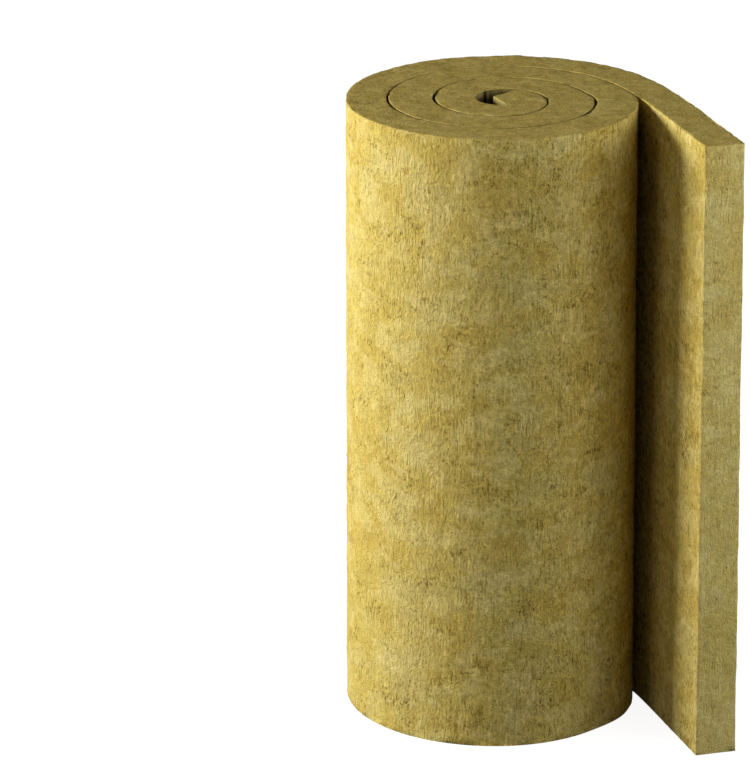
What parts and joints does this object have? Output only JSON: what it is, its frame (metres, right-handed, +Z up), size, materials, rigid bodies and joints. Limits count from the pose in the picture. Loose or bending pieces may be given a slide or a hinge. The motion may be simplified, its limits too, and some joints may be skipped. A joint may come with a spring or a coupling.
{
  "type": "insulation roll",
  "caption": "Roll of stone wool insulation mat standing on its cut end, wound round a small open eye, with the outer end of the mat laid open as a straight tail.",
  "frame": {"origin": "on the winding axis, on the floor that the roll stands on", "axes": "+Z up along the winding axis, +X to the side where the mat's outer end leaves the roll, +Y to the back"},
  "size_m": [0.6062, 0.5286, 1],
  "materials": {
    "stone_wool": "matt felted stone wool, ochre yellow, with short streaks along the width of the mat"
  },
  "bodies": {
    "root": {"wool_mat": "stone_wool"}
  },
  "joints": []
}
